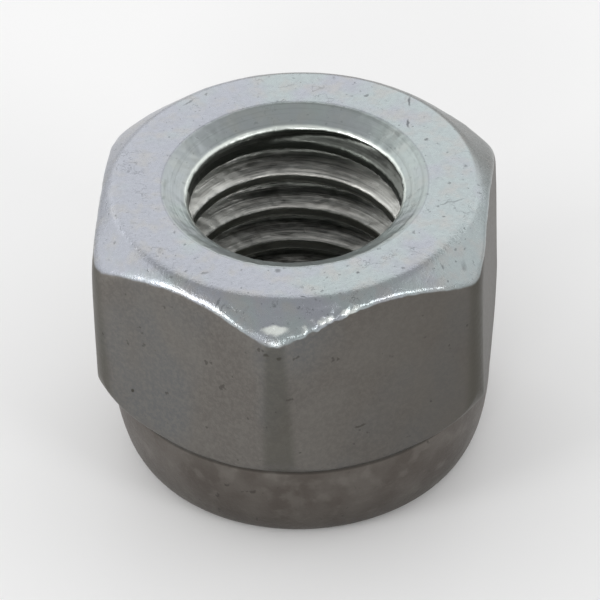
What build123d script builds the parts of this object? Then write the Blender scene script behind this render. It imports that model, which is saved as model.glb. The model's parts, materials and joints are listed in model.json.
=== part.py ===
from build123d import *
from math import cos, pi, radians, tan
import os

# Hex lock nut with a locking ring of nylon, for a 3/8 inch bolt with 16 threads to the inch.
# The thread axis is Z. The nut stands on its crimped collar, with its bearing face on top.
# Lengths are in millimetres and angles in degrees.

# Thread, 3/8 inch across with 16 turns to the inch
major_diameter = 9.525
pitch = 1.5875
thread_flank_angle = 30
thread_depth_share = 5 / 8

# Hexagon, from the bearing face down to the shoulder above the collar
across_flats = 14.29
hex_height = 7.85
corner_radius = 0.9
bearing_inset = 0.44
bearing_edge_radius = 0.6
top_chamfer_angle = 39
chamfer_edge_radius = 0.2
foot_height = 1.85
countersink_margin = 0.09
countersink_angle = 120

# Collar, which is crimped over the locking ring
collar_height = 3.65
collar_inset = 0.05
collar_round_width = 1.05
crease_depth = 0.08
crease_height = 0.16
lip_thickness = 0.75
lip_reach = 1.15
lip_edge_chamfer = 0.3
pocket_chamfer = 0.8
exit_chamfer_angle = 45

# Locking ring
ring_height = 2.5
ring_wall = 1.8
ring_clearance = 0.03
ring_interference = 0.9
ring_edge_chamfer = 0.2

# Sizes that follow from those above
hex_sides = 6
total_height = collar_height + hex_height
sharp_thread_height = pitch / 2 / tan(radians(thread_flank_angle))
thread_depth = thread_depth_share * sharp_thread_height
major_radius = major_diameter / 2
minor_radius = major_radius - thread_depth
apothem = across_flats / 2
sharp_corner_reach = apothem / cos(pi / hex_sides)
corner_reach = sharp_corner_reach - corner_radius * (sharp_corner_reach / apothem - 1)
bearing_radius = apothem - bearing_inset
countersink_radius = major_radius + countersink_margin
countersink_depth = (countersink_radius - minor_radius) / tan(radians(countersink_angle / 2))
exit_chamfer_depth = (countersink_radius - minor_radius) / tan(radians(exit_chamfer_angle))
chamfer_drop = (sharp_corner_reach - bearing_radius) * tan(radians(top_chamfer_angle))
collar_radius = apothem - collar_inset
crease_radius = collar_radius - crease_depth
rest_radius = collar_radius - collar_round_width
ring_inner_radius = major_radius - ring_interference / 2
ring_outer_radius = ring_inner_radius + ring_wall
pocket_radius = ring_outer_radius + ring_clearance
mouth_radius = pocket_radius - lip_reach
seat_height = lip_thickness + ring_height

# The hexagon has corners on Y and is turned at both ends: a chamfer round the bearing face,
# and feet that bring the corners in to the collar.
with BuildPart() as nut_body:
    with BuildSketch(Plane.XY.offset(collar_height)):
        RegularPolygon(apothem, hex_sides, major_radius=False, rotation=180 / hex_sides)
    extrude(amount=hex_height)
    fillet(nut_body.edges().filter_by(Axis.Z), radius=corner_radius)
    with BuildSketch(Plane.XZ):
        with BuildLine():
            Polyline(
                (crease_radius, collar_height),
                (0, collar_height),
                (0, total_height),
                (bearing_radius, total_height),
                (sharp_corner_reach, total_height - chamfer_drop),
                (sharp_corner_reach, collar_height + foot_height),
                (corner_reach, collar_height + foot_height),
            )
            TangentArc(
                (corner_reach, collar_height + foot_height),
                (crease_radius, collar_height),
                tangent=(0, -1),
            )
        make_face()
    revolve(axis=Axis.Z, mode=Mode.INTERSECT)
    bearing_face = nut_body.faces().sort_by(Axis.Z)[-1]
    fillet(bearing_face.edges(), radius=bearing_edge_radius)
    chamfer_face = nut_body.faces().filter_by(GeomType.CONE).sort_by(Axis.Z)[-1]
    chamfer_outline = chamfer_face.edges().filter_by(
        lambda edge: edge.geom_type in (GeomType.HYPERBOLA, GeomType.BSPLINE)
    )
    fillet(chamfer_outline, radius=chamfer_edge_radius)

    # The collar bulges out below a crease at the shoulder, and curls in to the rim it rests on.
    with BuildSketch(Plane.XZ):
        with BuildLine():
            Polyline(
                (rest_radius, 0),
                (0, 0),
                (0, collar_height),
                (crease_radius, collar_height),
                (collar_radius, collar_height - crease_height),
            )
            EllipticalCenterArc(
                (rest_radius, collar_height - crease_height),
                collar_round_width,
                collar_height - crease_height,
                start_angle=270,
                arc_size=90,
            )
        make_face()
    revolve(axis=Axis.Z)

    # The inside: mouth and lip, pocket for the ring, seat, thread at its minor radius, countersink.
    with BuildSketch(Plane.XZ):
        with BuildLine():
            Polyline(
                (0, total_height),
                (0, 0),
                (mouth_radius + lip_edge_chamfer, 0),
                (mouth_radius, lip_edge_chamfer),
                (mouth_radius, lip_thickness),
                (pocket_radius - pocket_chamfer, lip_thickness),
                (pocket_radius, lip_thickness + pocket_chamfer),
                (pocket_radius, seat_height),
                (countersink_radius, seat_height),
                (minor_radius, seat_height + exit_chamfer_depth),
                (minor_radius, total_height - countersink_depth),
                (countersink_radius, total_height),
                (0, total_height),
            )
        make_face()
    revolve(axis=Axis.Z, mode=Mode.SUBTRACT)

# The nylon ring fills the pocket. Its bore is smaller than the bolt, which presses its own
# thread into it. The lip closes on its chamfered lower edge.
with BuildPart() as locking_ring:
    with BuildSketch(Plane.XY.offset(lip_thickness)):
        Circle(ring_outer_radius)
        Circle(ring_inner_radius, mode=Mode.SUBTRACT)
    extrude(amount=ring_height)
    inner_edges = locking_ring.edges().filter_by(GeomType.CIRCLE).sort_by(SortBy.RADIUS)[:2]
    chamfer(inner_edges, length=ring_edge_chamfer)
    lower_edges = locking_ring.edges().group_by(Axis.Z)[0].sort_by(SortBy.RADIUS)
    chamfer(lower_edges[-1], length=pocket_chamfer)

nut_body.part.label = "nut_body"
locking_ring.part.label = "locking_ring"

os.makedirs("parts", exist_ok=True)
export_step(nut_body.part, "parts/nut_body.step")
export_step(locking_ring.part, "parts/locking_ring.step")
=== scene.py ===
# %% [markdown]
# A hex lock nut of zinc-plated steel, standing on its crimped collar with the bearing face up.
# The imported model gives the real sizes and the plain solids. This lesson makes the nut's body
# again with its real thread, worn edges and stained plating, and dresses the nylon ring.

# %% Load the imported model
import json
from math import atan2, cos, pi, radians, sin, tan

import bpy
import numpy as np
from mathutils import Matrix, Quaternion, Vector


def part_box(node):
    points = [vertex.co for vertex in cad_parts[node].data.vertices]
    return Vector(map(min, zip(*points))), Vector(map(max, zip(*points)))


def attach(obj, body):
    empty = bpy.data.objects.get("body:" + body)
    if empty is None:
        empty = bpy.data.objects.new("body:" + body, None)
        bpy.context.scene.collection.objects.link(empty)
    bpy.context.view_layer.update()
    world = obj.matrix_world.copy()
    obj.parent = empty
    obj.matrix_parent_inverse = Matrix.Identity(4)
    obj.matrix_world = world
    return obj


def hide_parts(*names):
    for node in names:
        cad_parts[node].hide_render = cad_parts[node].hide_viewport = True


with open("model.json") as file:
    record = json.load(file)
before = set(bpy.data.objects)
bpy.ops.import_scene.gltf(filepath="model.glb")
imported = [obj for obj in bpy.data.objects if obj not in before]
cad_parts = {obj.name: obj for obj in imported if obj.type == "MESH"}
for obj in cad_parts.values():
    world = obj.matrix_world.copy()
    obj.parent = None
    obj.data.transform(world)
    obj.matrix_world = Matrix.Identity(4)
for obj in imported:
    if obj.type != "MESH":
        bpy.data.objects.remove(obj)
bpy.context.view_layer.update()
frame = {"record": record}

# %% [markdown]
# The real sizes come from the solids, so the pieces made here fit them without any trial. Those
# that neither a box nor a mount tells are written out again, with the values of the solids.
# Blender's scene is in metres, and a nut is so small that merging and remeshing would run into
# their smallest steps. Each piece is therefore modelled in millimetres, as one unit for one
# millimetre, and shrunk to metres as its last step.

# %% Sizes of the nut, in millimetres
MM = 0.001
body_low, body_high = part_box("nut_body")
ring_low, ring_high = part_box("locking_ring")
thread_mount = next(mount for mount in frame["record"]["mounts"] if mount["name"] == "thread")

across_flats = (body_high.x - body_low.x) / MM
total_height = body_high.z / MM
corner_reach = body_high.y / MM
minor_radius = thread_mount["dims"]["r_mm"]
ring_outer_radius = ring_high.x / MM
lip_thickness = ring_low.z / MM
seat_height = ring_high.z / MM

pitch = 1.5875
thread_flank_angle = radians(30)
collar_height = 3.65
corner_radius = 0.9
bearing_inset = 0.44
bearing_edge_radius = 0.6
chamfer_angle = radians(39)
foot_height = 1.85
countersink_margin = 0.09
countersink_angle = radians(120)
collar_inset = 0.05
collar_round_width = 1.05
crease_depth = 0.08
crease_height = 0.16
lip_reach = 1.15
lip_edge = 0.3
ring_clearance = 0.03
ring_interference = 0.9
pocket_chamfer = 0.8
print("across flats", round(across_flats, 3), "height", round(total_height, 3), "mm")

# %% [markdown]
# The other sizes follow from these. A standard thread is 5/8 as deep as a sharp one. Its grooves
# are flat over an eighth of the pitch, and the crests between them over a quarter.

# %% Sizes that follow from those above
HEX_SIDES = 6
THREAD_DEPTH_SHARE = 5 / 8
apothem = across_flats / 2
sharp_corner_reach = apothem / cos(pi / HEX_SIDES)
thread_depth = THREAD_DEPTH_SHARE * pitch / 2 / tan(thread_flank_angle)
groove_flat = pitch / 8
crest_flat = pitch / 4
major_radius = minor_radius + thread_depth
bearing_radius = apothem - bearing_inset
countersink_radius = major_radius + countersink_margin
countersink_depth = (countersink_radius - minor_radius) / tan(countersink_angle / 2)
seat_chamfer = countersink_radius - minor_radius
chamfer_drop = (sharp_corner_reach - bearing_radius) * tan(chamfer_angle)
collar_radius = apothem - collar_inset
crease_radius = collar_radius - crease_depth
rest_radius = collar_radius - collar_round_width
pocket_radius = ring_outer_radius + ring_clearance
mouth_radius = pocket_radius - lip_reach
print("thread major radius", round(major_radius, 3), "minor radius", round(minor_radius, 3))

# %% [markdown]
# The photograph was taken from about 38 degrees above, with a long lens, a little to one side of
# a corner. The camera stands off by fourteen widths across the flats, which sets how much the
# far side of the nut shrinks, and it is rolled by two degrees, as it was held by hand.

# %% Camera
CAMERA_ELEVATION = radians(38.31)
CAMERA_AZIMUTH = radians(6.8)
CAMERA_ROLL = radians(-2.14)
CAMERA_DISTANCE = 14 * across_flats
AIM_ASIDE = 0.0026 * across_flats
AIM_BELOW = 0.3896 * across_flats
SENSOR_WIDTH = 36
LENS = 327.8

turn_to_view = Quaternion((0, 0, 1), CAMERA_AZIMUTH)
bearing_centre = Vector((0, 0, total_height))
stand_off = Vector((0, -cos(CAMERA_ELEVATION), sin(CAMERA_ELEVATION))) * CAMERA_DISTANCE
camera_place = bearing_centre + turn_to_view @ stand_off
camera_aim = bearing_centre + turn_to_view @ Vector((AIM_ASIDE, 0, -AIM_BELOW))
look = (camera_aim - camera_place).to_track_quat("-Z", "Y")
roll = Quaternion((0, 0, 1), CAMERA_ROLL)
bpy.ops.object.camera_add(location=camera_place * MM, rotation=(look @ roll).to_euler())
camera = bpy.context.object
camera.name = "photo_camera"
camera.data.sensor_width = SENSOR_WIDTH
camera.data.lens = LENS
camera.data.clip_start = 10 * MM
bpy.context.scene.camera = camera
print("camera at", [round(value, 4) for value in camera.location])

# %% [markdown]
# A few helpers stand for what the hand does again and again: clearing the selection, applying
# one modifier, cutting one solid with another, and bringing a finished piece to metres.

# %% Helpers for modelling
def pick_only(piece):
    """Select one piece and nothing else."""
    bpy.ops.object.select_all(action="DESELECT")
    piece.select_set(True)
    bpy.context.view_layer.objects.active = piece


def apply_modifier(piece, kind, **settings):
    """Add one modifier with its settings and apply it."""
    pick_only(piece)
    bpy.ops.object.modifier_add(type=kind)
    modifier = piece.modifiers[-1]
    for name, value in settings.items():
        setattr(modifier, name, value)
    bpy.ops.object.modifier_apply(modifier=modifier.name)


def combine(piece, other, operation):
    """Join, cut or intersect a piece with another one, which is then thrown away."""
    apply_modifier(piece, "BOOLEAN", object=other, operation=operation, solver="MANIFOLD")
    bpy.data.objects.remove(other)


def make_sound(piece, merge_distance=0.0001):
    """Merge doubled points and turn all faces outwards."""
    pick_only(piece)
    bpy.ops.object.mode_set(mode="EDIT")
    bpy.ops.mesh.select_all(action="SELECT")
    bpy.ops.mesh.remove_doubles(threshold=merge_distance)
    bpy.ops.mesh.normals_make_consistent(inside=False)
    bpy.ops.object.mode_set(mode="OBJECT")


def triangle_count(piece):
    """How many triangles the piece has."""
    piece.data.calc_loop_triangles()
    return len(piece.data.loop_triangles)


# %% [markdown]
# Most of a nut is turned. A lathe follows an outline, and so does this helper: it starts from a
# disc and draws it out ring by ring, widening or narrowing each new ring to the outline. Arcs are
# worked out as a few points, so an outline holds only the points that its shape needs.

# %% Helper for turned solids
TURNED_STEPS = 256


def turned(name, outline):
    """Turn a solid about Z that follows the outline's radii and heights."""
    radius, height = outline[0]
    bpy.ops.object.select_all(action="DESELECT")
    bpy.ops.mesh.primitive_circle_add(
        vertices=TURNED_STEPS, radius=radius, fill_type="NGON", location=(0, 0, height)
    )
    piece = bpy.context.object
    piece.name = name
    bpy.ops.object.mode_set(mode="EDIT")
    for next_radius, next_height in outline[1:]:
        move = {"value": (0, 0, next_height - height)}
        bpy.ops.mesh.extrude_region_move(TRANSFORM_OT_translate=move)
        widen = next_radius / radius
        centre = (0, 0, next_height)
        bpy.ops.transform.resize(value=(widen, widen, 1), center_override=centre)
        radius, height = next_radius, next_height
    bpy.ops.object.mode_set(mode="OBJECT")
    bpy.ops.object.transform_apply(location=True, rotation=True, scale=True)
    make_sound(piece)
    return piece


def arc(centre, radii, start, end, steps):
    """Points of an arc or a stretch of an ellipse, from one angle to another."""
    angles = [start + (end - start) * step / steps for step in range(steps + 1)]
    return [
        (centre[0] + radii[0] * cos(angle), centre[1] + radii[1] * sin(angle)) for angle in angles
    ]


# %% [markdown]
# The steel starts as a hexagonal bar. Drawn bar has slightly round corners, so the six upright
# edges are bevelled before anything is turned. The corners stand at the front and the back.

# %% Hexagonal bar
BAR_MARGIN = 1.0
BAR_BEVEL_STEPS = 8
bar_height = total_height - collar_height

bpy.ops.object.select_all(action="DESELECT")
bpy.ops.mesh.primitive_cylinder_add(
    vertices=HEX_SIDES,
    radius=sharp_corner_reach,
    depth=bar_height + 2 * BAR_MARGIN,
    location=(0, 0, collar_height + bar_height / 2),
)
nut = bpy.context.object
nut.name = "nut_body_finished"
bpy.ops.object.transform_apply(location=True, rotation=True, scale=True)
for edge in nut.data.edges:
    first, second = (nut.data.vertices[index].co for index in edge.vertices)
    edge.select = abs(first.z - second.z) > bar_height
bpy.ops.object.mode_set(mode="EDIT")
bpy.ops.mesh.select_mode(type="EDGE")
bpy.ops.mesh.bevel(
    offset=corner_radius * tan(pi / HEX_SIDES), segments=BAR_BEVEL_STEPS, affect="EDGES"
)
bpy.ops.object.mode_set(mode="OBJECT")
print("bar corners reach", round(max(v.co.y for v in nut.data.vertices), 3), "mm")

# %% [markdown]
# On the real nut a tool turns the end faces of the bar. One turned blank holds all of those cuts,
# and what the bar and the blank share is the hexagon: a cone round the bearing face with a soft
# edge, and feet that bring the corners in to the collar, where they end as round arches.

# %% Turned ends of the hexagon
ARC_STEPS = 12
EDGE_STEPS = 5
foot_top = collar_height + foot_height
foot_reach = corner_reach - crease_radius
foot_radius = (foot_reach**2 + foot_height**2) / (2 * foot_reach)
foot_angle = atan2(foot_height, foot_radius - foot_reach)
edge_back = bearing_edge_radius * tan(chamfer_angle / 2)

blank = turned(
    "turned_blank",
    [
        *arc((corner_reach - foot_radius, foot_top), (foot_radius,) * 2, -foot_angle, 0, ARC_STEPS),
        (sharp_corner_reach, foot_top),
        (sharp_corner_reach, total_height - chamfer_drop),
        *arc(
            (bearing_radius - edge_back, total_height - bearing_edge_radius),
            (bearing_edge_radius,) * 2,
            pi / 2 - chamfer_angle,
            pi / 2,
            EDGE_STEPS,
        ),
    ],
)
combine(nut, blank, "INTERSECT")
print("hexagon", triangle_count(nut), "triangles")

# %% [markdown]
# Below the hexagon the bar is turned down to a sleeve. After the ring is dropped in, a press
# curls the sleeve inwards over it, which leaves a collar with a round shoulder. A fine crease
# is left where the sleeve meets the hexagon.

# %% Crimped collar
COLLAR_ROOT = 0.5
collar_top = collar_height - crease_height
collar = turned(
    "crimped_collar",
    [
        *arc((rest_radius, collar_top), (collar_round_width, collar_top), -pi / 2, 0, ARC_STEPS),
        (crease_radius, collar_height),
        (bearing_radius, collar_height + COLLAR_ROOT),
    ],
)
combine(nut, collar, "UNION")
print("with collar", triangle_count(nut), "triangles")

# %% [markdown]
# The inside is turned too: the mouth between the curled lips, the pocket that holds the ring,
# the seat above it, the bore at the thread's minor radius and the countersink on top.

# %% Inside of the nut
CUT_MARGIN = 1.0
inside = turned(
    "inside_cut",
    [
        (mouth_radius + lip_edge + CUT_MARGIN, -CUT_MARGIN),
        (mouth_radius + lip_edge, 0),
        (mouth_radius, lip_edge),
        (mouth_radius, lip_thickness),
        (pocket_radius - pocket_chamfer, lip_thickness),
        (pocket_radius, lip_thickness + pocket_chamfer),
        (pocket_radius, seat_height),
        (countersink_radius, seat_height),
        (minor_radius, seat_height + seat_chamfer),
        (minor_radius, total_height - countersink_depth),
        (countersink_radius + CUT_MARGIN * tan(countersink_angle / 2), total_height + CUT_MARGIN),
    ],
)
combine(nut, inside, "DIFFERENCE")
print("bored", triangle_count(nut), "triangles")

# %% [markdown]
# The thread is what a nut is for, so it is real geometry here: a tap is modelled as one tooth's
# outline swept up a right-hand helix, and then cut out of the bore. The tooth reaches a little
# inside the bore, so the cut leaves the flat crests that the drill left between the grooves. In
# the photograph the dark lines stand at certain heights at the back of the bore, which sets how
# far the tap is turned about its axis.

# %% Outline of the tap's tooth
TAP_CORE_MARGIN = 0.15
tap_core = minor_radius - TAP_CORE_MARGIN
tip_half = groove_flat / 2
core_half = tip_half + (major_radius - tap_core) * tan(thread_flank_angle)
tooth = [
    (tap_core, -pitch / 2),
    (tap_core, -core_half),
    (major_radius, -tip_half),
    (major_radius, tip_half),
    (tap_core, core_half),
    (tap_core, pitch / 2),
]
print("tooth is", round(2 * core_half, 3), "mm thick at its foot")

# %% [markdown]
# The outline is drawn from a single point, extruded from corner to corner, and subdivided, so
# that its long sides can be narrowed later. The Screw modifier sweeps it up the helix.

# %% Sweep the tap
TAP_STEPS = 144
TAP_CUTS = 3
TAP_SPARE_TURNS = 3
TAP_PHASE = radians(-90)
tap_bottom = seat_height - CUT_MARGIN
tap_top = total_height + CUT_MARGIN
tap_turns = int((tap_top - tap_bottom) / pitch) + TAP_SPARE_TURNS
start_height = tap_bottom - pitch

bpy.ops.object.select_all(action="DESELECT")
bpy.ops.mesh.primitive_plane_add(size=1, location=(0, 0, 0))
tap = bpy.context.object
tap.name = "tap"
bpy.ops.object.mode_set(mode="EDIT")
bpy.ops.mesh.select_mode(type="VERT")
bpy.ops.mesh.select_all(action="SELECT")
bpy.ops.mesh.merge(type="CENTER")
bpy.ops.transform.translate(value=(tooth[0][0], 0, start_height + tooth[0][1]))
for (radius, height), (next_radius, next_height) in zip(tooth, tooth[1:]):
    move = {"value": (next_radius - radius, 0, next_height - height)}
    bpy.ops.mesh.extrude_vertices_move(TRANSFORM_OT_translate=move)
bpy.ops.mesh.select_all(action="SELECT")
bpy.ops.mesh.subdivide(number_cuts=TAP_CUTS)
bpy.ops.object.mode_set(mode="OBJECT")
apply_modifier(
    tap,
    "SCREW",
    axis="Z",
    angle=2 * pi,
    screw_offset=pitch,
    iterations=tap_turns,
    steps=TAP_STEPS,
    render_steps=TAP_STEPS,
)
make_sound(tap)
print("tap sweeps", tap_turns, "turns,", triangle_count(tap), "triangles")

# %% [markdown]
# The countersink is clean, and the first turn fades out under it. The tap's points are therefore
# drawn in towards its core over the last third of a millimetre, where the groove gets shallow and
# closes. Heights here are counted down from the bearing face.

# %% Run the thread out below the countersink
def places(piece):
    """The piece's points as rows of x, y and z."""
    flat = np.empty(len(piece.data.vertices) * 3)
    piece.data.vertices.foreach_get("co", flat)
    return flat.reshape(-1, 3)


FULL_THREAD_BELOW = 0.95
NO_THREAD_BELOW = 0.6
points = places(tap)
run_out = (points[:, 2] - total_height + FULL_THREAD_BELOW) / (FULL_THREAD_BELOW - NO_THREAD_BELOW)
shrink = 1 - (1 - tap_core / major_radius) * np.clip(run_out, 0, 1)
points[:, :2] *= shrink[:, None]
tap.data.vertices.foreach_set("co", points.ravel())
tap.data.update()
print("points narrowed", int((shrink < 1).sum()))

# %% [markdown]
# The sweep leaves the tap open at both ends. Cutting it off square and filling the cuts makes it
# a solid, and only a solid can be cut cleanly out of another.

# %% Close the tap's ends and cut the thread
for height, keep_above in ((tap_bottom, True), (tap_top, False)):
    bpy.ops.object.mode_set(mode="EDIT")
    bpy.ops.mesh.select_all(action="SELECT")
    bpy.ops.mesh.bisect(
        plane_co=(0, 0, height),
        plane_no=(0, 0, 1),
        use_fill=True,
        clear_inner=keep_above,
        clear_outer=not keep_above,
    )
    bpy.ops.object.mode_set(mode="OBJECT")
make_sound(tap)
tap.rotation_euler.z = TAP_PHASE
bpy.ops.object.transform_apply(location=True, rotation=True, scale=True)
combine(nut, tap, "DIFFERENCE")
print("threaded", triangle_count(nut), "triangles")

# %% [markdown]
# Real edges are never razor sharp: the plating and the tumbling drum round them. Remeshing into
# small even cells and smoothing them a little softens every edge at once, which bevels can't do
# on cuts that run into each other.

# %% Soft edges
CELL_SIZE = 0.085
SMOOTHING_SHARE = 0.5
SOFTENING_PASSES = 3
apply_modifier(nut, "REMESH", mode="VOXEL", voxel_size=CELL_SIZE)
apply_modifier(nut, "SMOOTH", iterations=SOFTENING_PASSES, factor=SMOOTHING_SHARE)
print("remeshed", triangle_count(nut), "triangles")

# %% [markdown]
# Wear comes in places, so each worn place gets a vertex group, which holds how strongly every
# point belongs to it. Two helpers do that. One fills a group, and the other gives one at a place
# and less and less away from it.

# %% Helpers for worn places
LEAST_WEIGHT = 0.01


def weigh(piece, name, weights):
    """Give the piece a vertex group with one weight for each of its points."""
    group = piece.vertex_groups.new(name=name)
    for index in np.flatnonzero(weights > LEAST_WEIGHT):
        group.add([int(index)], float(weights[index]), "REPLACE")


def near(distance, reach):
    """One at no distance, falling to nothing at the reach."""
    return np.clip(1 - np.abs(distance) / reach, 0, 1)


# %% [markdown]
# The edge between the chamfer and the flats took the knocks. Its points lie close to the cone of
# the chamfer and close to a flat at once. A short stretch to the right of the front corner is
# battered, and the edge on the left of that corner is blunter than the rest.

# %% Edge of the chamfer
EDGE_REACH = 0.55
EDGE_GAIN = 2
BATTERED_AT = -74
BATTERED_REACH = 13
BLUNT_FROM = 1.6
BLUNT_OVER = 1.2
points = places(nut)
radii = np.hypot(points[:, 0], points[:, 1])
flat_turns = [pi / 3 * index for index in range(HEX_SIDES)]
reaches = [points[:, 0] * cos(t) + points[:, 1] * sin(t) for t in flat_turns]
flat_reach = np.max(reaches, axis=0)
cone_height = total_height - np.maximum(radii - bearing_radius, 0) * tan(chamfer_angle)
edge_weights = near(points[:, 2] - cone_height, EDGE_REACH) * near(flat_reach - apothem, EDGE_REACH)
edge_weights[radii < bearing_radius] = 0
edge_weights *= EDGE_GAIN
bearings = np.degrees(np.arctan2(points[:, 1], points[:, 0]))
battered = near(bearings - BATTERED_AT, BATTERED_REACH)
left_share = np.clip((-points[:, 0] - BLUNT_FROM) / BLUNT_OVER, 0, 1) * (points[:, 1] < 0)
weigh(nut, "chamfer_edge", np.clip(edge_weights, 0, 1))
weigh(nut, "battered_edge", np.clip(edge_weights * battered, 0, 1))
weigh(nut, "blunt_edge", np.clip(edge_weights * left_share, 0, 1))
print("points near the chamfer's edge", int((edge_weights > 0).sum()))

# %% [markdown]
# Three other places wore in their own way: the wall of the thread was torn by the tap, the tips
# of the six corners are rubbed round, and the countersink's lower edge is soft.

# %% Thread, corner tips and countersink's edge
THREAD_REACH = 1.0
TIP_REACH = 1.4
SINK_EDGE_REACH = 0.5
in_bore = (radii < countersink_radius) * (points[:, 2] > seat_height)
thread_weights = near(np.minimum(radii - minor_radius, 0), THREAD_REACH) * in_bore
weigh(nut, "thread", thread_weights)
tips = [
    (corner_reach * sin(t), corner_reach * cos(t), total_height - chamfer_drop) for t in flat_turns
]
off_tip = np.min([np.linalg.norm(points - tip, axis=1) for tip in tips], axis=0)
weigh(nut, "corner_tips", near(off_tip, TIP_REACH))
sink_edge = near(points[:, 2] - total_height + countersink_depth, SINK_EDGE_REACH)
sink_edge *= near(radii - minor_radius, SINK_EDGE_REACH)
weigh(nut, "countersink_edge", sink_edge)
print("points in the thread", int((thread_weights > 0).sum()))

# %% [markdown]
# Wear is made in two steps: smoothing blunts each place, and a cloudy pattern then pushes its
# points in and out, which makes it ragged. The bar as a whole is a little uneven too. Last, the
# mesh is thinned, because its flat faces don't need cells as fine as its edges do.


# %% Blunt and ragged edges
def roughen(piece, name, grain, depth, group=""):
    """Push points in and out along their normals by a cloudy pattern of this grain and depth."""
    clouds = bpy.data.textures.new(name, "CLOUDS")
    clouds.noise_scale = grain
    clouds.noise_depth = 1
    apply_modifier(
        piece, "DISPLACE", texture=clouds, strength=depth, mid_level=0.5, vertex_group=group
    )


BLUNTING_PASSES = {
    "chamfer_edge": 10,
    "blunt_edge": 40,
    "corner_tips": 140,
    "countersink_edge": 40,
}
KEPT_SHARE = 0.36
for group, passes in BLUNTING_PASSES.items():
    apply_modifier(
        nut, "SMOOTH", iterations=passes, factor=SMOOTHING_SHARE, vertex_group=group
    )
roughen(nut, "worn_edge", 0.9, 0.035, "chamfer_edge")
roughen(nut, "knocks", 0.3, 0.17, "battered_edge")
roughen(nut, "torn_metal", 0.3, 0.04, "thread")
roughen(nut, "uneven_bar", 3.0, 0.03)
apply_modifier(nut, "DECIMATE", ratio=KEPT_SHARE)
print("thinned", triangle_count(nut), "triangles")

# %% [markdown]
# Every piece ends in the same way. It is shrunk to metres and shaded smooth, the solid it replaces
# is hidden, and it is attached to the body that carries it.


# %% Helper that finishes a piece
def finish_piece(piece, node):
    """Bring a piece to metres, shade it smooth, hide its CAD node, and attach it to the root body.
    """
    pick_only(piece)
    piece.scale = (MM, MM, MM)
    bpy.ops.object.transform_apply(location=True, rotation=True, scale=True)
    bpy.ops.object.shade_smooth()
    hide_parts(node)
    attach(piece, "root")
    print(piece.name, triangle_count(piece), "triangles")


finish_piece(nut, "nut_body")

# %% [markdown]
# The nylon ring can be turned from rod or moulded. It fills the pocket. The bolt presses its own
# thread into the ring's bore, so the bore is smaller than the thread, with a bevel at both ends.

# %% Nylon ring
ring_inner_radius = major_radius - ring_interference / 2
RING_EDGE = 0.2

bpy.ops.object.select_all(action="DESELECT")
ring = turned(
    "locking_ring_finished",
    [
        (ring_outer_radius - pocket_chamfer, lip_thickness),
        (ring_outer_radius, lip_thickness + pocket_chamfer),
        (ring_outer_radius, seat_height),
    ],
)
ring_bore = turned(
    "ring_bore",
    [
        (ring_inner_radius + RING_EDGE + CUT_MARGIN, lip_thickness - CUT_MARGIN),
        (ring_inner_radius + RING_EDGE, lip_thickness),
        (ring_inner_radius, lip_thickness + RING_EDGE),
        (ring_inner_radius, seat_height - RING_EDGE),
        (ring_inner_radius + RING_EDGE, seat_height),
        (ring_inner_radius + RING_EDGE + CUT_MARGIN, seat_height + CUT_MARGIN),
    ],
)
combine(ring, ring_bore, "DIFFERENCE")
finish_piece(ring, "locking_ring")


# %% [markdown]
# Materials are written as sRGB hex colours, because that is how a colour is read off a sample
# card, and one function turns them into the linear values that Blender works with. A second
# function adds a node with its settings and links, and every material is built from it.

# %% Colour and node helpers
def linear(hex_code):
    """Turn an sRGB hex colour into the linear colour that Blender works in."""
    shares = [int(hex_code[place : place + 2], 16) / 255 for place in (1, 3, 5)]
    steps = [s / 12.92 if s <= 0.04045 else ((s + 0.055) / 1.055) ** 2.4 for s in shares]
    return (*steps, 1)


def add_node(tree, kind, inputs, output=0, **settings):
    """Add a node with its settings, give its inputs values or links, and return an output."""
    node = tree.nodes.new("ShaderNode" + kind)
    for name, value in settings.items():
        setattr(node, name, value)
    for name, value in inputs.items() if isinstance(inputs, dict) else enumerate(inputs):
        if isinstance(value, bpy.types.NodeSocket):
            tree.links.new(value, node.inputs[name])
        else:
            node.inputs[name].default_value = linear(value) if isinstance(value, str) else value
    return node.outputs[output]


# %% [markdown]
# A Mix node has sockets for numbers and for colours, which are told apart by their place in its
# list. A few names make that readable: the share of the upper layer, the two layers, and the
# settings that make a node mix colours or ease a mask's edge.

# %% Names for sockets and settings
SHARE, LOWER, UPPER = 0, 2, 3
UNDER, OVER, COLOUR = 6, 7, 2
TINT = {"data_type": "RGBA"}
SOFT = {"interpolation_type": "SMOOTHSTEP"}

# %% [markdown]
# Scratches, outlines and the like are thin lines, found where some value comes close to a middle
# one. This helper makes such a mask, which fades out on both sides of the line.


# %% Helper for thin lines
def line_mask(tree, value, middle, fade, strength=1.0):
    """A mask along the line where a value is at its middle, with a faded edge."""
    away = add_node(tree, "Math", (value, middle), operation="SUBTRACT")
    away = add_node(tree, "Math", (away,), operation="ABSOLUTE")
    return add_node(tree, "MapRange", (away, *fade, 0, strength), **SOFT)


# %% [markdown]
# Zinc plating over steel is a metal through and through, so the shader is metallic everywhere.
# What tells its regions apart is how the surface under the plating was made: drawn flats are
# dull and dark, turned faces are bright, and the thread is torn and oily. The regions are found
# from the place of a point on the nut, in millimetres, so they need no picture and no UV map. The
# scale of a noise is then how many of its clouds fit in a millimetre.

# %% Where a point of the steel lies
steel = bpy.data.materials.new("zinc_plated_steel")
steel.use_nodes = True
tree = steel.node_tree
shader = tree.nodes["Principled BSDF"]

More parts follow.
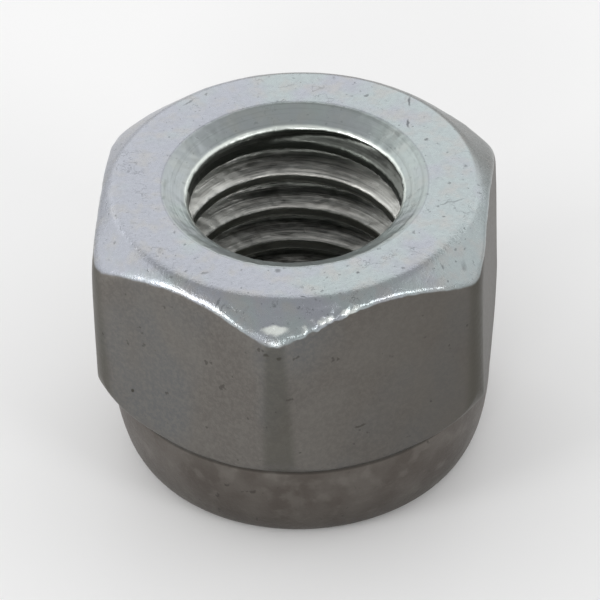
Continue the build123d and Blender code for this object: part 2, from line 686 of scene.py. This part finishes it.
metres = add_node(tree, "TexCoord", {}, "Object")
place = add_node(tree, "VectorMath", (metres, (1 / MM,) * 3), operation="MULTIPLY")
x = add_node(tree, "SeparateXYZ", (place,), "X")
y = add_node(tree, "SeparateXYZ", (place,), "Y")
z = add_node(tree, "SeparateXYZ", (place,), "Z")
level = add_node(tree, "VectorMath", (place, (1, 1, 0)), operation="MULTIPLY")
radius = add_node(tree, "VectorMath", (level,), "Value", operation="LENGTH")
across = 0.0
for turn in (0, pi / 3, 2 * pi / 3):
    facing = (cos(turn), sin(turn), 0)
    reach = add_node(tree, "VectorMath", (place, facing), "Value", operation="DOT_PRODUCT")
    reach = add_node(tree, "Math", (reach,), operation="ABSOLUTE")
    across = add_node(tree, "Math", (across, reach), operation="MAXIMUM")
print("one unit of a pattern is", MM, "m")

# %% [markdown]
# A region is a mask: one inside it, nothing outside, and a soft edge. Turned faces lie above the
# cone of the chamfer, the bore within the countersink's outer edge, and the collar under the
# shoulder. Two of the edges wander by a twentieth of a millimetre, because no tool meets the skin
# of a bar evenly.

# %% Regions of the steel
RAGGED_PER_MM = 2.2
RAGGED_BY = 0.05
TURNED_FADE = (0.16, 0.08)
BORE_FADE = 0.07
THREAD_FADE = (0.02, -0.06)
COLLAR_FADE = 0.1
sink_floor = total_height - countersink_depth
ragged = add_node(tree, "TexNoise", {"Vector": place, "Scale": RAGGED_PER_MM, "Detail": 3})
ragged = add_node(tree, "MapRange", (ragged, 0, 1, -RAGGED_BY, RAGGED_BY))
past_bearing = add_node(tree, "Math", (radius, bearing_radius), operation="SUBTRACT")
past_bearing = add_node(tree, "Math", (past_bearing, 0.0), operation="MAXIMUM")
cone_drop = add_node(tree, "Math", (past_bearing, tan(chamfer_angle)), operation="MULTIPLY")
over_cone = add_node(tree, "Math", (z, cone_drop), operation="ADD")
over_cone = add_node(tree, "Math", (over_cone, ragged), operation="ADD")
turned_edge = [total_height - below for below in TURNED_FADE]
turned_part = add_node(tree, "MapRange", (over_cone, *turned_edge), **SOFT)
bore_edge = (countersink_radius + BORE_FADE, countersink_radius)
bore_part = add_node(tree, "MapRange", (radius, *bore_edge), **SOFT)
thread_edge = [sink_floor + above for above in THREAD_FADE]
thread_part = add_node(tree, "MapRange", (z, *thread_edge), **SOFT)
low_edge = add_node(tree, "Math", (z, ragged), operation="ADD")
collar_edge = (collar_height, collar_height - COLLAR_FADE)
collar_part = add_node(tree, "MapRange", (low_edge, *collar_edge), **SOFT)
print("thread is painted below", round(thread_edge[0], 2), "mm")

# %% [markdown]
# How far a point lies along its flat follows from its distance to the axis and to the flat. The
# rolled corners are the places far along, and they are wider lower down.

# %% Rolled corners of the bar
CORNER_FADE = (3.5, 3.9)
CORNER_WIDENING = (4.5, 10.0, 0.25, 0.0)
squares = [add_node(tree, "Math", (side, 2.0), operation="POWER") for side in (radius, across)]
along_flat = add_node(tree, "Math", squares, operation="SUBTRACT")
along_flat = add_node(tree, "Math", (along_flat,), operation="SQRT")
widening = add_node(tree, "MapRange", (z, *CORNER_WIDENING))
along_flat = add_node(tree, "Math", (along_flat, widening), operation="ADD")
corner_part = add_node(tree, "MapRange", (along_flat, *CORNER_FADE), **SOFT)
print("half a flat is", round(apothem * tan(pi / HEX_SIDES), 2), "mm")

# %% [markdown]
# The flats of drawn bar: a dull, warm grey with soft clouds where the passivation took more or
# less, a fine grain, and small dark specks where the plating is thin. The real grain is finer
# than the picture can show, so it is drawn at about a fifth of a millimetre. Painted shade makes
# the rolled corners between the flats darker and greener, and the bar darker and browner on its
# right side.

# %% Colour of the flats
BAR_GREY, BAR_PALE, BAR_BLUISH = "#696561", "#706D69", "#66696C"
BAR_GRAIN, BAR_RIGHT_SHADE, BAR_SHADED = "#827F79", "#57534E", "#4E4A45"
CORNER_SHADE_GREEN, SPECK_DARK = "#52514A", "#3A3733"
GRAIN_PER_MM = 5.5
RIGHT_SHADE_FADE = (-1.5, 7.5)
RIGHT_FLAT_FADE = (6.6, 7.0)
clouds = add_node(tree, "TexNoise", {"Vector": place, "Scale": 0.3, "Detail": 3})
share = add_node(tree, "MapRange", (clouds, 0.35, 0.65), **SOFT)
drawn = add_node(tree, "Mix", {SHARE: share, UNDER: BAR_GREY, OVER: BAR_PALE}, COLOUR, **TINT)
tall = add_node(tree, "VectorMath", (place, (1, 1, 0.6)), operation="MULTIPLY")
clouds = add_node(tree, "TexNoise", {"Vector": tall, "Scale": 0.26, "Detail": 2})
share = add_node(tree, "MapRange", (clouds, 0.5, 0.7, 0, 0.6), **SOFT)
drawn = add_node(tree, "Mix", {SHARE: share, UNDER: drawn, OVER: BAR_BLUISH}, COLOUR, **TINT)
grain = {"Vector": place, "Scale": GRAIN_PER_MM, "Detail": 3, "Roughness": 0.8}
grain = add_node(tree, "TexNoise", grain)
share = add_node(tree, "MapRange", (grain, 0.35, 0.7, 0, 0.5), **SOFT)
drawn = add_node(tree, "Mix", {SHARE: share, UNDER: drawn, OVER: BAR_GRAIN}, COLOUR, **TINT)
# Painted shade: the right side of the bar is darker and browner, and its right flat darkest.
share = add_node(tree, "MapRange", (x, *RIGHT_SHADE_FADE, 0, 0.6), **SOFT)
drawn = add_node(tree, "Mix", {SHARE: share, UNDER: drawn, OVER: BAR_RIGHT_SHADE}, COLOUR, **TINT)
share = add_node(tree, "MapRange", (x, *RIGHT_FLAT_FADE, 0, 0.6), **SOFT)
drawn = add_node(tree, "Mix", {SHARE: share, UNDER: drawn, OVER: BAR_SHADED}, COLOUR, **TINT)
# Painted shade: the rolled corners are darkened and made greener.
share = add_node(tree, "Math", (corner_part, 0.5), operation="MULTIPLY")
drawn = add_node(tree, "Mix", {SHARE: share, UNDER: drawn, OVER: CORNER_SHADE_GREEN}, COLOUR, **TINT)
specks = add_node(tree, "TexNoise", {"Vector": place, "Scale": 2.2, "Roughness": 0.6})
specks = add_node(tree, "MapRange", (specks, 0.68, 0.74, 0, 0.5), **SOFT)
drawn = add_node(tree, "Mix", {SHARE: specks, UNDER: drawn, OVER: SPECK_DARK}, COLOUR, **TINT)
print("grain of", round(1 / GRAIN_PER_MM, 2), "mm")

# %% [markdown]
# Turned faces under clear passivation: a pale blue-grey, lavender on the left and greener on the
# right, with warmer blotches and the same fine grain as the bar.

# %% Colour of the turned faces
TURNED_LAVENDER, TURNED_GREENISH = "#A3A6AE", "#A4ADAE"
TURNED_WARM, TURNED_GRAIN = "#A9A8A6", "#8F9398"
DRIFT_PER_MM = 0.025
clouds = add_node(tree, "TexNoise", {"Vector": place, "Scale": 0.5})
drift = add_node(tree, "Math", (x, DRIFT_PER_MM), operation="MULTIPLY")
clouds = add_node(tree, "Math", (clouds, drift), operation="ADD")
share = add_node(tree, "MapRange", (clouds, 0.4, 0.62), **SOFT)
turned_tone = {SHARE: share, UNDER: TURNED_LAVENDER, OVER: TURNED_GREENISH}
turned_tone = add_node(tree, "Mix", turned_tone, COLOUR, **TINT)
blotches = add_node(tree, "TexNoise", {"Vector": place, "Scale": 1.3, "Detail": 3})
share = add_node(tree, "MapRange", (blotches, 0.45, 0.7, 0, 0.6), **SOFT)
turned_tone = {SHARE: share, UNDER: turned_tone, OVER: TURNED_WARM}
turned_tone = add_node(tree, "Mix", turned_tone, COLOUR, **TINT)
share = add_node(tree, "MapRange", (grain, 0.35, 0.8, 0, 0.3), **SOFT)
turned_tone = {SHARE: share, UNDER: turned_tone, OVER: TURNED_GRAIN}
turned_tone = add_node(tree, "Mix", turned_tone, COLOUR, **TINT)
print("steel has", len(tree.nodes), "nodes so far")

# %% [markdown]
# Scratches are drawn along the lines where a noise passes through its middle value, which makes
# thin, wandering hairs, and a second noise keeps them to a few patches. Pits are the peaks of a
# third one, about a quarter of a millimetre across.

# %% Hairline scratches and pits
NOISE_MIDDLE = 0.5
HAIR_FADE = (0.009, 0.0)
PITS_PER_MM = 4.0
hairs = {"Vector": place, "Scale": 0.9, "Detail": 4, "Roughness": 0.6}
hairs = add_node(tree, "TexNoise", hairs)
hairs = line_mask(tree, hairs, NOISE_MIDDLE, HAIR_FADE, 0.5)
patches = add_node(tree, "TexNoise", {"Vector": place, "Scale": 0.6, "Detail": 1})
patches = add_node(tree, "MapRange", (patches, 0.54, 0.62), **SOFT)
hairs = add_node(tree, "Math", (hairs, patches), operation="MULTIPLY")
pits = add_node(tree, "TexNoise", {"Vector": place, "Scale": PITS_PER_MM, "Roughness": 0.6})
pits = add_node(tree, "MapRange", (pits, 0.64, 0.73, 0, 0.55), **SOFT)
print("pits of", round(1 / PITS_PER_MM, 2), "mm")

# %% [markdown]
# A few marks are large enough to be placed one by one, as flat ellipses: each has a centre, a turn
# about the upright axis in degrees, its half sizes along, across and upright, and its strength.
# Marks are dark, and the highlight spots are painted highlights on the edge of the chamfer. A noise
# shifts each point a little before it is looked up, so that no outline is a perfect ellipse.

# %% Marks left by handling, and painted highlights
MARKS = [
    ((3.80, 5.10, 11.5), 86, (0.32, 0.05, 0.4), 0.8),
    ((3.88, 3.80, 11.5), 100, (0.34, 0.06, 0.4), 0.8),
    ((4.66, 2.85, 11.5), 60, (0.12, 0.07, 0.4), 0.7),
    ((-4.70, -1.10, 11.4), 75, (0.16, 0.08, 0.4), 0.7),
    ((-4.72, -0.20, 11.4), 85, (0.6, 0.05, 0.4), 0.3),
    ((-0.13, -5.11, 11.5), 10, (0.16, 0.12, 0.4), 0.6),
    ((2.76, -5.00, 11.5), 30, (0.09, 0.07, 0.4), 0.8),
    ((-2.72, -5.38, 11.5), 20, (0.16, 0.06, 0.4), 0.5),
    ((5.60, -1.67, 11.5), 0, (0.08, 0.06, 0.4), 0.6),
    ((0.94, -6.52, 11.5), 0, (0.1, 0.06, 0.4), 0.6),
    ((2.17, 5.36, 11.5), 40, (0.12, 0.09, 0.4), 0.7),
    ((-4.40, 4.60, 11.5), 45, (0.3, 0.04, 0.4), 0.6),
    ((5.75, -0.80, 11.5), 28, (0.7, 0.03, 0.4), 0.5),
    ((-5.71, -4.96, 5.41), -30, (0.09, 1.0, 0.08), 0.9),
    ((2.88, -6.58, 5.60), 30, (0.26, 1.0, 0.05), 0.6),
    ((-0.30, -8.00, 9.95), 0, (0.14, 1.0, 0.09), 0.6),
    ((0.16, -8.00, 9.85), 0, (0.16, 1.0, 0.07), 0.6),
    ((6.84, -4.30, 10.95), 30, (0.16, 1.0, 0.2), 0.6),
    ((-2.15, -6.72, 11.3), 62, (0.2, 0.05, 0.6), 0.5),
    ((-1.95, -6.85, 11.2), 66, (0.16, 0.04, 0.6), 0.4),
]
# Painted highlights: bright spots on the chamfer's edge and the front corner's tip.
HIGHLIGHT_SPOTS = [
    ((0.02, -7.60, 10.95), 2, (0.62, 0.17, 0.5), 0.9),
    ((1.05, -7.59, 10.98), 30, (0.3, 0.16, 0.3), 0.7),
    ((1.76, -7.18, 11.12), 30, (0.42, 0.12, 0.3), 0.75),
    ((2.58, -6.71, 11.14), 30, (0.5, 0.09, 0.3), 0.6),
]
MARK_FADE = (1.1, 0.5)
WANDER_PER_MM = 2.6
WANDER_BY = 0.3
wander = {"Vector": place, "Scale": WANDER_PER_MM, "Detail": 3}
wander = add_node(tree, "TexNoise", wander, "Color")
wander = add_node(tree, "VectorMath", (wander, (NOISE_MIDDLE,) * 3), operation="SUBTRACT")
wander = add_node(tree, "VectorMath", (wander, (WANDER_BY,) * 3), operation="MULTIPLY")
shifted = add_node(tree, "VectorMath", (wander, place), operation="ADD")
found = []
for spots in (MARKS, HIGHLIGHT_SPOTS):
    together = 0.0
    for centre, turn, half_sizes, strength in spots:
        spot = (shifted, centre, (0, 0, radians(turn)), half_sizes)
        spot = add_node(tree, "Mapping", spot, vector_type="TEXTURE")
        spot = add_node(tree, "VectorMath", (spot,), "Value", operation="LENGTH")
        spot = add_node(tree, "MapRange", (spot, *MARK_FADE, 0, strength), **SOFT)
        together = add_node(tree, "Math", (together, spot), operation="MAXIMUM")
    found.append(together)
marks, highlight_spots = found
print("placed by hand:", len(MARKS), "marks and", len(HIGHLIGHT_SPOTS), "highlight_spots")

# %% [markdown]
# All the flaws now go on the turned faces, where they are a darker grey, and the marks go on the
# bar too. Painted shade darkens the rim of the bearing face to a brown at the far side, and painted
# highlights brighten spots on the chamfer's edge.

# %% Flaws, painted shade and painted highlights of the turned faces
RIM_SHADE_BROWN, FLAW_GREY, HIGHLIGHT_WHITE, BAR_MARK = "#5F5A55", "#5E6164", "#FAFFFA", "#3F3C36"
FAR_DIRECTION = (0.5, 0.87, 0)
FAR_FADE = (3.0, 5.5)
RIM_FADE = (-0.12, 0.02)
# Painted shade: the far side of the bearing face's rim is darkened brown.
rim_edge = [bearing_radius + beyond for beyond in RIM_FADE]
rim = add_node(tree, "MapRange", (radius, *rim_edge), **SOFT)
far_side = add_node(tree, "VectorMath", (place, FAR_DIRECTION), "Value", operation="DOT_PRODUCT")
far_side = add_node(tree, "MapRange", (far_side, *FAR_FADE, 0, 0.6), **SOFT)
share = add_node(tree, "Math", (rim, far_side), operation="MULTIPLY")
flaws = add_node(tree, "Math", (hairs, pits), operation="MAXIMUM")
flaws = add_node(tree, "Math", (flaws, marks), operation="MAXIMUM")
for mask, tone in ((share, RIM_SHADE_BROWN), (flaws, FLAW_GREY), (highlight_spots, HIGHLIGHT_WHITE)):
    turned_tone = {SHARE: mask, UNDER: turned_tone, OVER: tone}
    turned_tone = add_node(tree, "Mix", turned_tone, COLOUR, **TINT)
drawn = add_node(tree, "Mix", {SHARE: marks, UNDER: drawn, OVER: BAR_MARK}, COLOUR, **TINT)
print("steel has", len(tree.nodes), "nodes so far")

# %% [markdown]
# The countersink is cut by a tool that chattered, so it has faint rings, about a tenth of a
# millimetre wide. A fine dark line runs round its outer edge, and a painted highlight lies along
# its inner edge.

# %% Colour of the countersink
SINK_GREEN, SINK_RING, SINK_GLINT, SINK_OUTLINE = "#9FA8A4", "#7E8482", "#EDF3ED", "#6A6E72"
RING_STRETCH = (0.5, 9, 1)
GLINT_FADE = (0.12, 0.05)
OUTLINE_BEYOND = 0.04
OUTLINE_FADE = (0.07, 0.02)
turn_angle = add_node(tree, "Math", (y, x), operation="ARCTAN2")
ringwise = add_node(tree, "CombineXYZ", (turn_angle, radius))
ringwise = add_node(tree, "VectorMath", (ringwise, RING_STRETCH), operation="MULTIPLY")
rings = add_node(tree, "TexNoise", {"Vector": ringwise, "Scale": 1.0, "Detail": 2})
rings_share = add_node(tree, "MapRange", (rings, 0.5, 0.72, 0, 0.45), **SOFT)
# Painted highlight along the countersink's inner edge.
glint_edge = [sink_floor + above for above in GLINT_FADE]
glint = add_node(tree, "MapRange", (z, *glint_edge, 0, 0.85), **SOFT)
sink_tone = turned_tone
for mask, tone in ((0.5, SINK_GREEN), (rings_share, SINK_RING), (glint, SINK_GLINT)):
    sink_tone = {SHARE: mask, UNDER: sink_tone, OVER: tone}
    sink_tone = add_node(tree, "Mix", sink_tone, COLOUR, **TINT)
outline_at = countersink_radius + OUTLINE_BEYOND
outline = line_mask(tree, radius, outline_at, OUTLINE_FADE, 0.35)
turned_tone = {SHARE: outline, UNDER: turned_tone, OVER: SINK_OUTLINE}
turned_tone = add_node(tree, "Mix", turned_tone, COLOUR, **TINT)
print("glint runs up to", round(glint_edge[0], 2), "mm")

# %% [markdown]
# The thread was cut dry and plated thinly, so streaks run along the helix. A point's turn about
# the axis and its climb above the helix make a flat map of the thread, on which a stretched noise
# gives the streaks. The real ones are finer than the picture can show, so they are drawn at 0.07
# millimetres. Painted light makes both sides of the bore brighter than its back.

# %% Torn wall of the thread
TORN_GREY, TORN_PALE, SCORED_DARK, SIDE_PAINTED_LIGHT = "#8D8E8B", "#CBCAC5", "#5F615D", "#EEEFEA"
STREAK_STRETCH = (1.3, 14, 9)
SCORE_STRETCH = (1.8, 7, 4)
SIDE_LIGHT_FADES = ((-2.0, -3.4, 0, 0.8), (1.4, 3.2, 0, 0.65))
rise = add_node(tree, "Math", (turn_angle, pitch / (2 * pi)), operation="MULTIPLY")
climb = add_node(tree, "Math", (z, rise), operation="SUBTRACT")
along = add_node(tree, "CombineXYZ", (turn_angle, climb, radius))
fine = add_node(tree, "VectorMath", (along, STREAK_STRETCH), operation="MULTIPLY")
streaks = {"Vector": fine, "Scale": 1.0, "Detail": 4, "Roughness": 0.7}
streaks = add_node(tree, "TexNoise", streaks)
share = add_node(tree, "MapRange", (streaks, 0.38, 0.6), **SOFT)
torn = add_node(tree, "Mix", {SHARE: share, UNDER: TORN_GREY, OVER: TORN_PALE}, COLOUR, **TINT)
broad = add_node(tree, "VectorMath", (along, SCORE_STRETCH), operation="MULTIPLY")
scores = add_node(tree, "TexNoise", {"Vector": broad, "Scale": 1.0, "Detail": 3})
share = add_node(tree, "MapRange", (scores, 0.52, 0.66, 0, 0.45), **SOFT)
torn = add_node(tree, "Mix", {SHARE: share, UNDER: torn, OVER: SCORED_DARK}, COLOUR, **TINT)
# Painted light brightens both sides of the bore.
for side_light_fade in SIDE_LIGHT_FADES:
    share = add_node(tree, "MapRange", (x, *side_light_fade), **SOFT)
    torn = add_node(tree, "Mix", {SHARE: share, UNDER: torn, OVER: SIDE_PAINTED_LIGHT}, COLOUR, **TINT)
print("steel has", len(tree.nodes), "nodes so far")

# %% [markdown]
# A groove comes round once in every pitch, so the height above the nearest groove's middle wraps
# from minus to plus half a pitch. The flank under the middle faces up and stays bright. Painted
# shade darkens the root above it, most of all at the back of the bore.

# %% Roots of the thread
ROOT_SHADE = "#6A6D68"
SWING = 0.08
ROOT_FADE = (-0.34, -0.14)
ROOT_FADES_ASIDE = (1.2, 3.6, 1.0, 0.35)
groove_climb = tap_bottom - TAP_PHASE * pitch / (2 * pi)
in_groove = add_node(tree, "Math", (climb, groove_climb), operation="SUBTRACT")
in_groove = add_node(tree, "Math", (in_groove, pitch / 2, -pitch / 2), operation="WRAP")
swing = add_node(tree, "MapRange", (scores, 0.3, 0.7, -SWING, SWING))
swung = add_node(tree, "Math", (in_groove, swing), operation="ADD")
# Painted shade in the roots, strongest at the back of the bore.
root = add_node(tree, "MapRange", (swung, *ROOT_FADE, 0, 0.95), **SOFT)
aside = add_node(tree, "Math", (x,), operation="ABSOLUTE")
aside = add_node(tree, "MapRange", (aside, *ROOT_FADES_ASIDE), **SOFT)
root = add_node(tree, "Math", (root, aside), operation="MULTIPLY")
torn = add_node(tree, "Mix", {SHARE: root, UNDER: torn, OVER: ROOT_SHADE}, COLOUR, **TINT)
print("middle of the lowest groove", round(groove_climb, 2), "mm")

# %% [markdown]
# Painted shade makes the crests between the grooves a darker grey, and a thin painted highlight
# runs along the lower edge of each. Painted shade darkens the wall between the countersink and the
# first full turn.

# %% Crests and first turn of the thread
CREST_SHADE_GREY, CREST_GLINT_PALE, FIRST_WALL_SHADE = "#7E817C", "#D4D6D0", "#494E49"
CREST_FADE = 0.05
CREST_GLINT_INSIDE = 0.04
CREST_GLINT_FADE = (0.06, 0.02)
WALL_FADE = 0.04
WALL_TURN_FADE = (-0.5, 0.1)
crest_at = (pitch - crest_flat) / 2
# Painted shade on the crests.
crest = add_node(tree, "Math", (in_groove,), operation="ABSOLUTE")
crest = add_node(tree, "MapRange", (crest, crest_at, crest_at + CREST_FADE, 0, 0.85), **SOFT)
torn = add_node(tree, "Mix", {SHARE: crest, UNDER: torn, OVER: CREST_SHADE_GREY}, COLOUR, **TINT)
# Painted highlight along the lower edge of each crest.
crest_glint = line_mask(tree, swung, crest_at + CREST_GLINT_INSIDE, CREST_GLINT_FADE)
share = add_node(tree, "MapRange", (streaks, 0.45, 0.6, 0, 0.8), **SOFT)
crest_glint = add_node(tree, "Math", (crest_glint, share), operation="MULTIPLY")
torn = add_node(tree, "Mix", {SHARE: crest_glint, UNDER: torn, OVER: CREST_GLINT_PALE}, COLOUR, **TINT)
# Painted shade on the wall above the first full turn.
full_turns = (sink_floor - groove_climb) // pitch - 1
wall_foot = groove_climb + crest_at + full_turns * pitch
wall = add_node(tree, "MapRange", (climb, wall_foot - WALL_FADE, wall_foot + WALL_FADE), **SOFT)
share = add_node(tree, "MapRange", (turn_angle, *WALL_TURN_FADE, 0, 0.85), **SOFT)
wall = add_node(tree, "Math", (wall, share), operation="MULTIPLY")
torn = add_node(tree, "Mix", {SHARE: wall, UNDER: torn, OVER: FIRST_WALL_SHADE}, COLOUR, **TINT)
print("first full turn ends at", round(wall_foot + pitch / 4, 2), "mm at the back")

# %% [markdown]
# The collar was pressed over the ring after plating. It is browner and blotchy, with light marks
# from the press. Painted shade darkens it towards its rim near the floor, and in the crease under
# the hexagon.

# %% Colour of the collar
COLLAR_BROWN, COLLAR_PALE, PRESS_PALE = "#5F5954", "#6D6863", "#88847E"
COLLAR_LOW_SHADE, CREASE_SHADE = "#4E4A44", "#34322E"
LOW_FADE = (2.2, 0.3)
CREASE_BELOW = 0.05
CREASE_FADE = (0.14, 0.04)
stains = add_node(tree, "TexNoise", {"Vector": place, "Scale": 0.6, "Detail": 4})
share = add_node(tree, "MapRange", (stains, 0.35, 0.68), **SOFT)
crimped = {SHARE: share, UNDER: COLLAR_BROWN, OVER: COLLAR_PALE}
crimped = add_node(tree, "Mix", crimped, COLOUR, **TINT)
pressed = add_node(tree, "TexNoise", {"Vector": place, "Scale": 1.4, "Detail": 3})
share = add_node(tree, "MapRange", (pressed, 0.5, 0.72, 0, 0.3), **SOFT)
crimped = add_node(tree, "Mix", {SHARE: share, UNDER: crimped, OVER: PRESS_PALE}, COLOUR, **TINT)
# Painted shade: the collar darkens towards its rim, near the floor.
share = add_node(tree, "MapRange", (z, *LOW_FADE, 0, 0.45), **SOFT)
crimped = add_node(tree, "Mix", {SHARE: share, UNDER: crimped, OVER: COLLAR_LOW_SHADE}, COLOUR, **TINT)
crimped = add_node(tree, "Mix", {SHARE: specks, UNDER: crimped, OVER: SPECK_DARK}, COLOUR, **TINT)
# Painted shade in the crease under the hexagon.
crease = line_mask(tree, z, collar_height - CREASE_BELOW, CREASE_FADE, 0.6)
print("steel has", len(tree.nodes), "nodes so far")

# %% [markdown]
# The tones are laid over each other from the bar up, each through the mask of its region: the
# collar, the painted shade in the crease, the turned faces, and last what lies in the bore.

# %% Put the regions together
bore_tone = {SHARE: thread_part, UNDER: sink_tone, OVER: torn}
bore_tone = add_node(tree, "Mix", bore_tone, COLOUR, **TINT)
body = drawn
for mask, tone in (
    (collar_part, crimped),
    (crease, CREASE_SHADE),
    (turned_part, turned_tone),
    (bore_part, bore_tone),
):
    body = add_node(tree, "Mix", {SHARE: mask, UNDER: body, OVER: tone}, COLOUR, **TINT)
tree.links.new(body, shader.inputs["Base Color"])
shader.inputs["Metallic"].default_value = 1

# %% [markdown]
# Roughness and bump follow the same regions: the flats are satin, the turned faces smoother, and
# the torn thread is scored along the helix. Pits, specks and marks sink in a little.

# %% Gloss and relief of the steel
DULL_ROUGHNESS = (0.34, 0.54)
SMOOTH_ROUGHNESS = (0.2, 0.36)
BORE_ROUGHNESS = 0.36
FLAW_SINKS = 0.4
STEEL_RELIEF = 0.04
in_thread = add_node(tree, "Math", (bore_part, thread_part), operation="MULTIPLY")
in_sink = add_node(tree, "Math", (bore_part, in_thread), operation="SUBTRACT")
dull = add_node(tree, "MapRange", (grain, 0, 1, *DULL_ROUGHNESS))
smooth = add_node(tree, "MapRange", (grain, 0, 1, *SMOOTH_ROUGHNESS))
gloss = add_node(tree, "Mix", {SHARE: turned_part, LOWER: dull, UPPER: smooth})
gloss = add_node(tree, "Mix", {SHARE: bore_part, LOWER: gloss, UPPER: BORE_ROUGHNESS})
tree.links.new(gloss, shader.inputs["Roughness"])
relief = add_node(tree, "Mix", {SHARE: in_thread, LOWER: grain, UPPER: streaks})
relief = add_node(tree, "Mix", {SHARE: in_sink, LOWER: relief, UPPER: rings})
sunk = add_node(tree, "Math", (flaws, specks), operation="ADD")
sunk = add_node(tree, "Math", (sunk, FLAW_SINKS), operation="MULTIPLY")
relief = add_node(tree, "Math", (relief, sunk), operation="SUBTRACT")
bump = {"Strength": 0.4, "Distance": STEEL_RELIEF * MM, "Height": relief}
tree.links.new(add_node(tree, "Bump", bump), shader.inputs["Normal"])
print("steel has", len(tree.nodes), "nodes")

# %% [markdown]
# The ring is natural nylon, moulded: an off-white plastic with a slightly waxy sheen. Faint
# yellower clouds come from the water that nylon takes up. The mould left a fine texture, which is
# drawn coarser than it is, at about a sixth of a millimetre.

# %% Nylon
NYLON_WHITE, NYLON_YELLOWER = "#DAD8CF", "#CECABC"
NYLON_ROUGHNESS = (0.38, 0.6)
NYLON_RELIEF = 0.03
NYLON_IOR = 1.53
nylon = bpy.data.materials.new("moulded_nylon")
nylon.use_nodes = True
tree = nylon.node_tree
shader = tree.nodes["Principled BSDF"]
metres = add_node(tree, "TexCoord", {}, "Object")
place = add_node(tree, "VectorMath", (metres, (1 / MM,) * 3), operation="MULTIPLY")
clouds = add_node(tree, "TexNoise", {"Vector": place, "Scale": 0.5, "Detail": 3})
share = add_node(tree, "MapRange", (clouds, 0.35, 0.65), **SOFT)
plastic = {SHARE: share, UNDER: NYLON_WHITE, OVER: NYLON_YELLOWER}
plastic = add_node(tree, "Mix", plastic, COLOUR, **TINT)
texture = add_node(tree, "TexNoise", {"Vector": place, "Scale": 6, "Detail": 2})
tree.links.new(plastic, shader.inputs["Base Color"])
gloss = add_node(tree, "MapRange", (texture, 0, 1, *NYLON_ROUGHNESS))
tree.links.new(gloss, shader.inputs["Roughness"])
bump = {"Strength": 0.3, "Distance": NYLON_RELIEF * MM, "Height": texture}
tree.links.new(add_node(tree, "Bump", bump), shader.inputs["Normal"])
shader.inputs["IOR"].default_value = NYLON_IOR
print("nylon has", len(tree.nodes), "nodes")

# %% [markdown]
# Each piece is one material all over, so it gets one slot and no face has to be picked.

# %% Dress the pieces
for piece, material in ((nut, steel), (ring, nylon)):
    piece.data.materials.clear()
    piece.data.materials.append(material)
    print(piece.name, "is", material.name)

# %% [markdown]
# The nut stands on plain white paper in a light tent. The paper is much larger than the nut, so
# that the dull flats mirror nothing but paper.

# %% Floor
FLOOR_SIZE = 1.2
PAPER_WHITE = "#F4F4F4"
bpy.ops.object.select_all(action="DESELECT")
bpy.ops.mesh.primitive_plane_add(size=FLOOR_SIZE, location=(0, 0, 0))
floor = bpy.context.object
floor.name = "studio_floor"
paper = bpy.data.materials.new("white_paper")
paper.use_nodes = True
paper.node_tree.nodes["Principled BSDF"].inputs["Base Color"].default_value = linear(PAPER_WHITE)
paper.node_tree.nodes["Principled BSDF"].inputs["Roughness"].default_value = 1
floor.data.materials.append(paper)
print("floor is", FLOOR_SIZE, "m wide")

# %% [markdown]
# Bright metal is lit by what it mirrors. Three wide panels round the nut give the even tones of
# its faces, and three small lamps give the white lines along its edges. A white sky fills in
# what they leave dark.

# %% Lights
SKY_WHITE = "#FFFFFF"
SKY_STRENGTH = 0.62


def softbox(name, direction, distance, width, height, radiance):
    """Hang a soft light that points at the nut. Its direction is seen from the camera's side."""
    towards = turn_to_view @ Vector(direction).normalized()
    turn = towards.to_track_quat("Z", "Y").to_euler()
    bpy.ops.object.light_add(type="AREA", location=towards * distance, rotation=turn)
    lamp = bpy.context.object
    lamp.name = name
    lamp.data.shape = "RECTANGLE"
    lamp.data.size = width
    lamp.data.size_y = height
    lamp.data.energy = radiance * width * height * pi


softbox("back_panel", (0, 0.84, 0.54), 0.5, 0.9, 0.42, 0.8)
softbox("left_panel", (-0.88, 0.25, 0.42), 0.5, 0.5, 0.36, 0.75)
softbox("right_panel", (0.84, 0.2, 0.5), 0.5, 0.5, 0.36, 0.46)
softbox("left_lamp", (-0.82, -0.4, 0.33), 0.45, 0.14, 0.14, 8.0)
softbox("front_lamp", (-0.2, -0.88, 0.44), 0.45, 0.12, 0.08, 8.0)
softbox("right_lamp", (0.66, -0.6, 0.42), 0.45, 0.12, 0.12, 6.0)
studio = bpy.data.worlds.new("studio")
bpy.context.scene.world = studio
studio.use_nodes = True
studio.node_tree.nodes["Background"].inputs["Color"].default_value = linear(SKY_WHITE)
studio.node_tree.nodes["Background"].inputs["Strength"].default_value = SKY_STRENGTH
bpy.context.scene.view_settings.view_transform = "Standard"
print("lights", len(bpy.data.lights))
